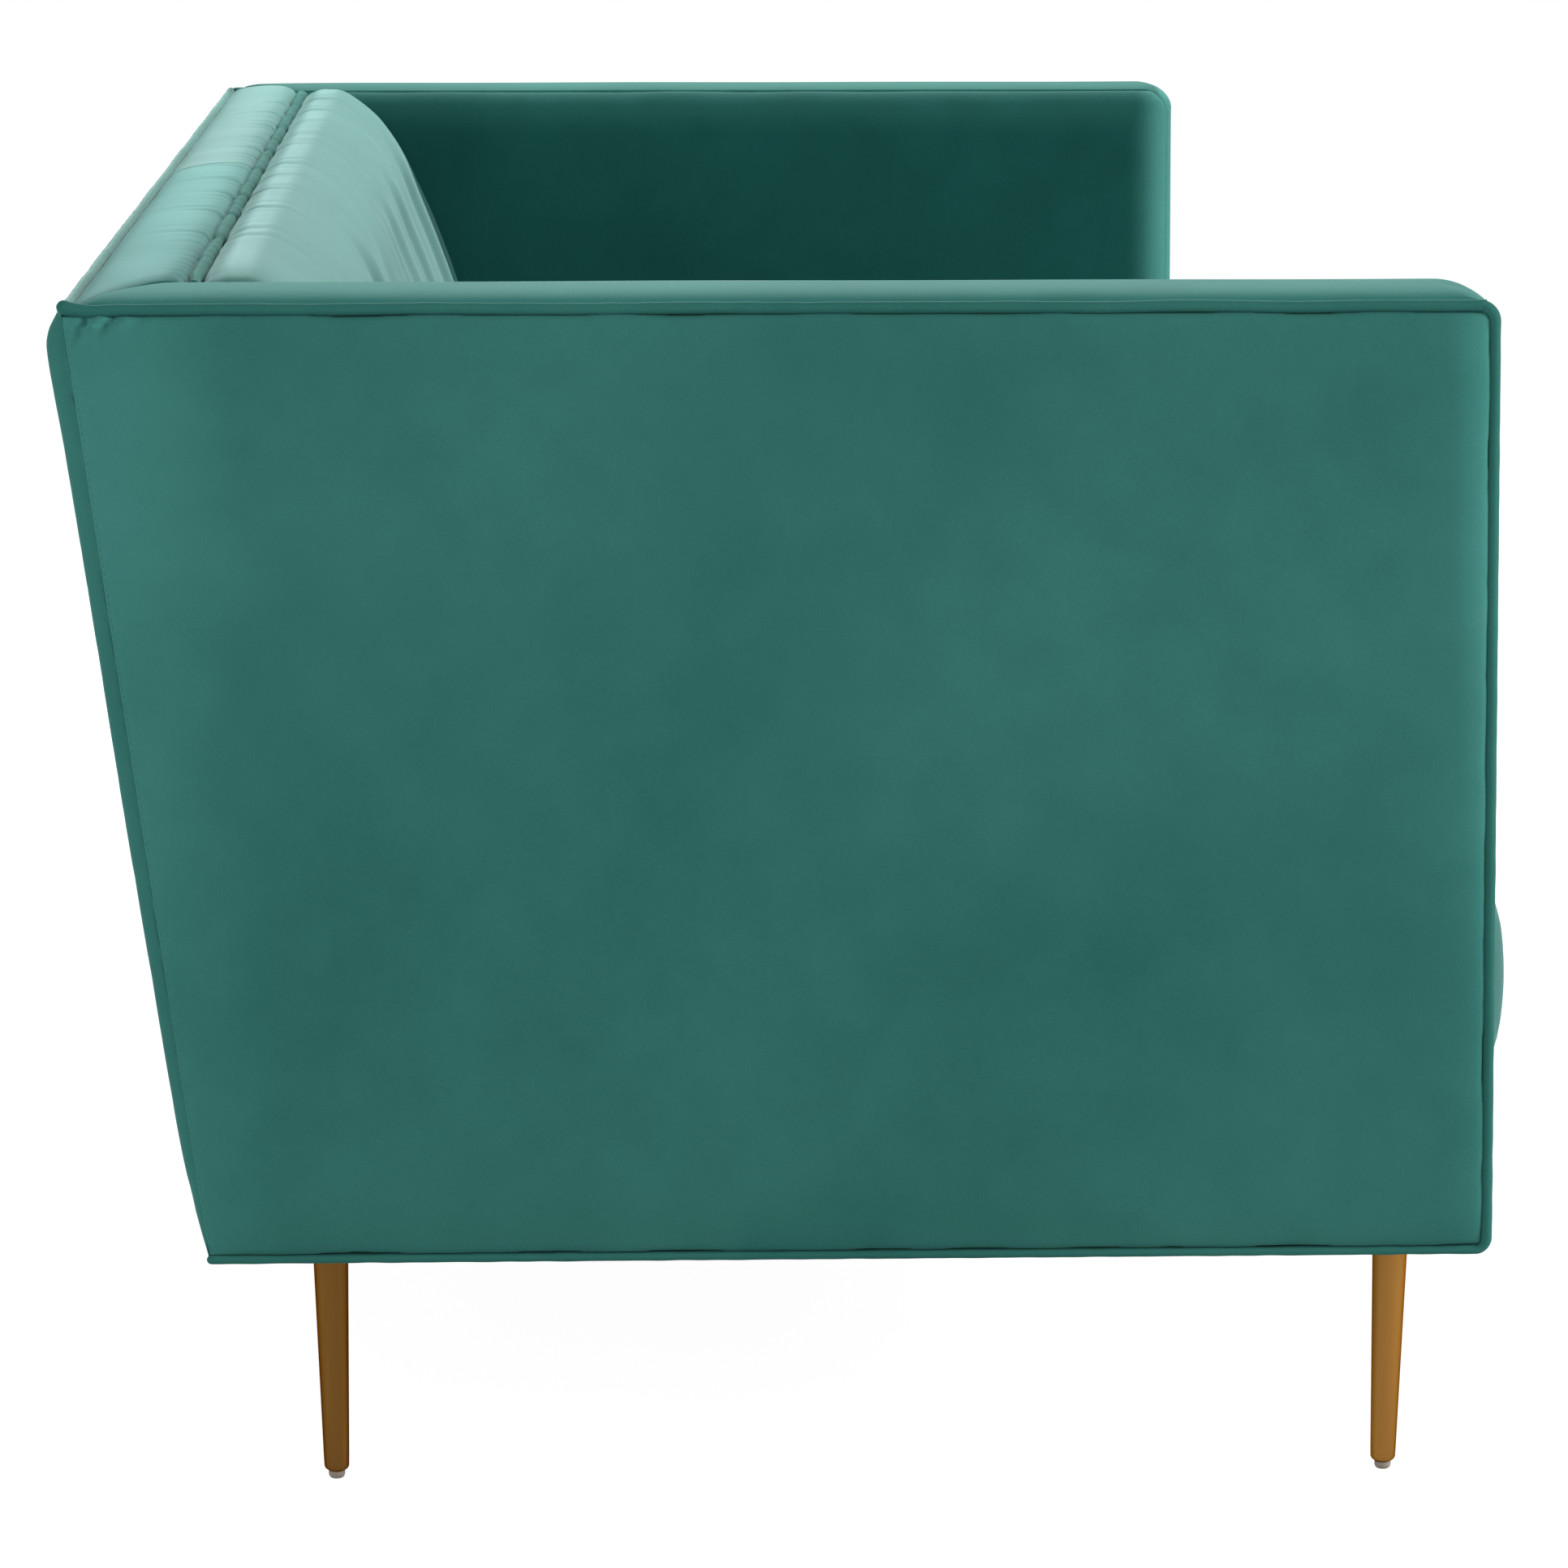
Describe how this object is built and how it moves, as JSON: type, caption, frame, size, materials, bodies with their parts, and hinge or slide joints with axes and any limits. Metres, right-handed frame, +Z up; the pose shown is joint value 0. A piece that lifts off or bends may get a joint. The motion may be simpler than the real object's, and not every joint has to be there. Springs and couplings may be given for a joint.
{
  "type": "tuxedo sofa",
  "caption": "Tuxedo sofa: arms as high as the back, piped velvet covers, bench seat cushion, crowned inner back with pinched folds, slim tapered brass legs.",
  "frame": {"origin": "on the floor, under the middle of the bounding box", "axes": "+Z up, the sofa faces -Y, its length runs along X; left is -X, as seen from the front"},
  "size_m": [2.03, 0.8656, 0.711],
  "materials": {
    "cover_velvet": "short pile velvet, teal, nap brushed in soft patches",
    "seat_velvet": "the same teal velvet over deep foam",
    "piping_velvet": "the same velvet wrapped over cord",
    "frame_hardwood": "planed, unfinished",
    "spring_steel": "drawn spring wire, oiled",
    "plate_steel": "zinc plated pressing",
    "leg_brass": "brushed antique brass, satin",
    "support_leg_enamel": "black enamel",
    "glide_plastic": "moulded grey",
    "back_webbing": "elastic woven web",
    "deck_felt": "pressed felt",
    "dust_cloth": "spunbonded cloth"
  },
  "bodies": {
    "root": {"outer_back_panel": "cover_velvet", "front_border": "cover_velvet", "arm_outer_panel_left": "cover_velvet", "arm_outer_panel_right": "cover_velvet", "arm_inner_panel_left": "cover_velvet", "arm_inner_panel_right": "cover_velvet", "arm_boxing_left": "cover_velvet", "arm_boxing_right": "cover_velvet", "seat_cushion": "seat_velvet", "inner_back_pad": "seat_velvet", "back_top_panel_left": "seat_velvet", "back_top_panel_right": "seat_velvet", "back_welt": "piping_velvet", "back_ruched_welt": "piping_velvet", "arm_welt_left": "piping_velvet", "arm_welt_right": "piping_velvet", "front_rail": "frame_hardwood", "rear_rail": "frame_hardwood", "centre_cross_rail": "frame_hardwood", "back_top_rail": "frame_hardwood", "back_lower_rail": "frame_hardwood", "back_centre_upright": "frame_hardwood", "side_rail_left": "frame_hardwood", "side_rail_right": "frame_hardwood", "arm_post_left": "frame_hardwood", "arm_post_right": "frame_hardwood", "arm_top_rail_left": "frame_hardwood", "arm_top_rail_right": "frame_hardwood", "back_post_left": "frame_hardwood", "back_post_right": "frame_hardwood", "corner_block_front_left": "frame_hardwood", "corner_block_front_right": "frame_hardwood", "corner_block_rear_left": "frame_hardwood", "corner_block_rear_right": "frame_hardwood", "seat_spring_1": "spring_steel", "seat_spring_2": "spring_steel", "seat_spring_3": "spring_steel", "seat_spring_4": "spring_steel", "seat_spring_5": "spring_steel", "seat_spring_6": "spring_steel", "seat_spring_7": "spring_steel", "spring_tie_wire": "spring_steel", "leg_plate_front_left": "plate_steel", "leg_plate_front_right": "plate_steel", "leg_plate_rear_left": "plate_steel", "leg_plate_rear_right": "plate_steel", "leg_front_left": "leg_brass", "leg_front_right": "leg_brass", "leg_rear_left": "leg_brass", "leg_rear_right": "leg_brass", "centre_support_leg": "support_leg_enamel", "glide_front_left": "glide_plastic", "glide_front_right": "glide_plastic", "glide_rear_left": "glide_plastic", "glide_rear_right": "glide_plastic", "back_web_1": "back_webbing", "back_web_2": "back_webbing", "seat_deck_pad": "deck_felt", "dust_cover": "dust_cloth"}
  },
  "joints": []
}
